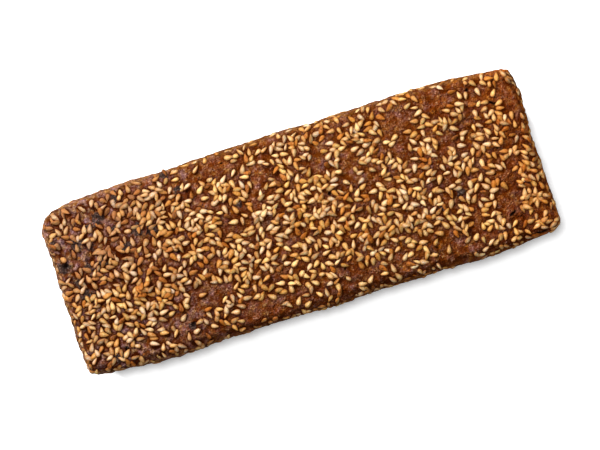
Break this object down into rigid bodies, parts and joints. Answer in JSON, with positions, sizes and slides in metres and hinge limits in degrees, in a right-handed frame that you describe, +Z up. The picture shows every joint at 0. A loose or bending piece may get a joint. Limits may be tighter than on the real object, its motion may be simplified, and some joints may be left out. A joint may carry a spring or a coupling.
{
  "type": "rye bread loaf",
  "caption": "Long tin-baked dark rye loaf with a low domed top, round shoulders, walls that lean in to a flat base, and sesame seeds over its crust.",
  "frame": {"origin": "middle of the flat base the loaf rests on, at its lowest point", "axes": "+X along the loaf's length, +Y across it, +Z up through the seeded top"},
  "size_m": [0.2202, 0.0821, 0.0612],
  "materials": {
    "crust": "baked, matt with a faint moist sheen",
    "sesame": "toasted, satin"
  },
  "bodies": {
    "root": {"rye_loaf": "crust"}
  },
  "joints": []
}
